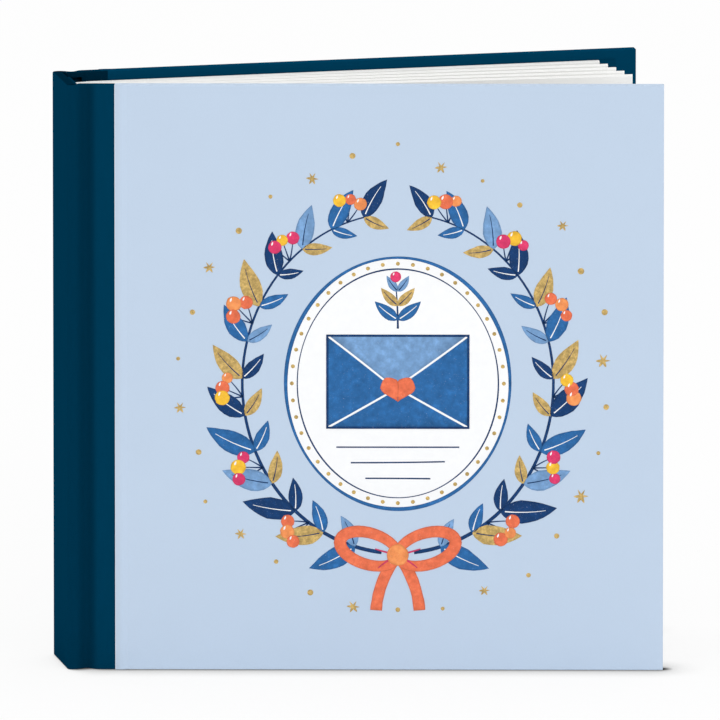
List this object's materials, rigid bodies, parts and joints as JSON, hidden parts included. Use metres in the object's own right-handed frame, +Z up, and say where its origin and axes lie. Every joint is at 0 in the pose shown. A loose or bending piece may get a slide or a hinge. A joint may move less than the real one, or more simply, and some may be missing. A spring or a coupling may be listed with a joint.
{
  "type": "address book",
  "caption": "Square hardcover address book with a cloth quarter spine, grooved joints and sewn sections of folded sheets, standing upright with its front cover ajar.",
  "frame": {"origin": "under the middle of the standing book's box, on the surface that it stands on", "axes": "+Z up the book from tail to head, +X from the spine to the fore edge, -Y the front cover's side, with the pages and the back cover square to Y"},
  "size_m": [0.1648, 0.0558, 0.165],
  "materials": {
    "grey_board": "matt grey board",
    "navy_cloth": "fine matt book cloth",
    "pale_blue_paper": "matt printed paper",
    "navy_paper": "matt printed paper",
    "printed_endpaper": "printed side of the endpaper",
    "endpaper": "uncoated paper, printed on the side that faces the cover",
    "page_paper": "uncoated paper",
    "kraft_paper": "brown kraft paper",
    "mull": "open-weave cotton",
    "band_cloth": "woven cotton band",
    "sewing_thread": "linen thread"
  },
  "bodies": {
    "spine": {"spine_board": "grey_board", "spine_cloth": "navy_cloth", "spine_hollow": "kraft_paper", "mull_lining": "mull", "head_band": "band_cloth", "tail_band": "band_cloth"},
    "front_cover": {"front_board": "grey_board", "front_cover_paper": "pale_blue_paper", "front_joint_cloth": "navy_cloth", "front_pastedown": "printed_endpaper"},
    "back_cover": {"back_board": "grey_board", "back_cover_paper": "navy_paper", "back_joint_cloth": "navy_cloth", "back_pastedown": "printed_endpaper"},
    "front_flyleaf": {"front_flyleaf": "endpaper"},
    "back_flyleaf": {"back_flyleaf": "endpaper"},
    "section_1": {"section_1_sheet_1": "page_paper", "section_1_sheet_2": "page_paper", "section_1_sheet_3": "page_paper", "section_1_sheet_4": "page_paper", "section_1_sheet_5": "page_paper", "section_1_sheet_6": "page_paper", "section_1_thread": "sewing_thread"},
    "section_2": {"section_2_sheet_1": "page_paper", "section_2_sheet_2": "page_paper", "section_2_sheet_3": "page_paper", "section_2_sheet_4": "page_paper", "section_2_sheet_5": "page_paper", "section_2_sheet_6": "page_paper", "section_2_thread": "sewing_thread"},
    "section_3": {"section_3_sheet_1": "page_paper", "section_3_sheet_2": "page_paper", "section_3_sheet_3": "page_paper", "section_3_sheet_4": "page_paper", "section_3_sheet_5": "page_paper", "section_3_sheet_6": "page_paper", "section_3_thread": "sewing_thread"},
    "section_4": {"section_4_sheet_1": "page_paper", "section_4_sheet_2": "page_paper", "section_4_sheet_3": "page_paper", "section_4_sheet_4": "page_paper", "section_4_sheet_5": "page_paper", "section_4_sheet_6": "page_paper", "section_4_thread": "sewing_thread"},
    "section_5": {"section_5_sheet_1": "page_paper", "section_5_sheet_2": "page_paper", "section_5_sheet_3": "page_paper", "section_5_sheet_4": "page_paper", "section_5_sheet_5": "page_paper", "section_5_sheet_6": "page_paper", "section_5_thread": "sewing_thread"}
  },
  "joints": [
    {"name": "front_cover_hinge", "type": "hinge", "parent": "spine", "child": "front_cover", "pos_m": [-0.08, 0.00697, 0.0825], "axis": [0, 0, -1], "range_deg": [-12.4, 167.6]},
    {"name": "back_cover_hinge", "type": "hinge", "parent": "spine", "child": "back_cover", "pos_m": [-0.08, 0.02757, 0.0825], "axis": [0, 0, 1], "range_deg": [0, 180]},
    {"name": "section_1_turn", "type": "hinge", "parent": "spine", "child": "section_1", "pos_m": [-0.07865, 0.01179, 0.0825], "axis": [0, 0, -1], "range_deg": [-3.8, 51.36]},
    {"name": "section_2_turn", "type": "hinge", "parent": "spine", "child": "section_2", "pos_m": [-0.07865, 0.01453, 0.0825], "axis": [0, 0, -1], "range_deg": [-2.85, 38.52]},
    {"name": "section_3_turn", "type": "hinge", "parent": "spine", "child": "section_3", "pos_m": [-0.07865, 0.01727, 0.0825], "axis": [0, 0, -1], "range_deg": [-1.9, 25.68]},
    {"name": "section_4_turn", "type": "hinge", "parent": "spine", "child": "section_4", "pos_m": [-0.07865, 0.02001, 0.0825], "axis": [0, 0, -1], "range_deg": [-0.95, 12.84]},
    {"name": "section_5_turn", "type": "hinge", "parent": "spine", "child": "section_5", "pos_m": [-0.07865, 0.02275, 0.0825], "axis": [0, 0, 1], "range_deg": [0, 36]},
    {"name": "front_flyleaf_turn", "type": "hinge", "parent": "section_1", "child": "front_flyleaf", "pos_m": [-0.07351, 0.0099, 0.0825], "axis": [0, 0, -1], "range_deg": [-5.6, 75.69]},
    {"name": "back_flyleaf_turn", "type": "hinge", "parent": "section_5", "child": "back_flyleaf", "pos_m": [-0.0734, 0.02429, 0.0825], "axis": [0, 0, 1], "range_deg": [0, 84]}
  ],
  "couplings": [
    {"joint": "section_1_turn", "follows": "front_cover_hinge", "ratio": 0.30645},
    {"joint": "section_2_turn", "follows": "front_cover_hinge", "ratio": 0.22984},
    {"joint": "section_3_turn", "follows": "front_cover_hinge", "ratio": 0.15323},
    {"joint": "section_4_turn", "follows": "front_cover_hinge", "ratio": 0.076613},
    {"joint": "section_5_turn", "follows": "back_cover_hinge", "ratio": 0.2},
    {"joint": "front_flyleaf_turn", "follows": "front_cover_hinge", "ratio": 0.45161},
    {"joint": "back_flyleaf_turn", "follows": "back_cover_hinge", "ratio": 0.46667}
  ]
}
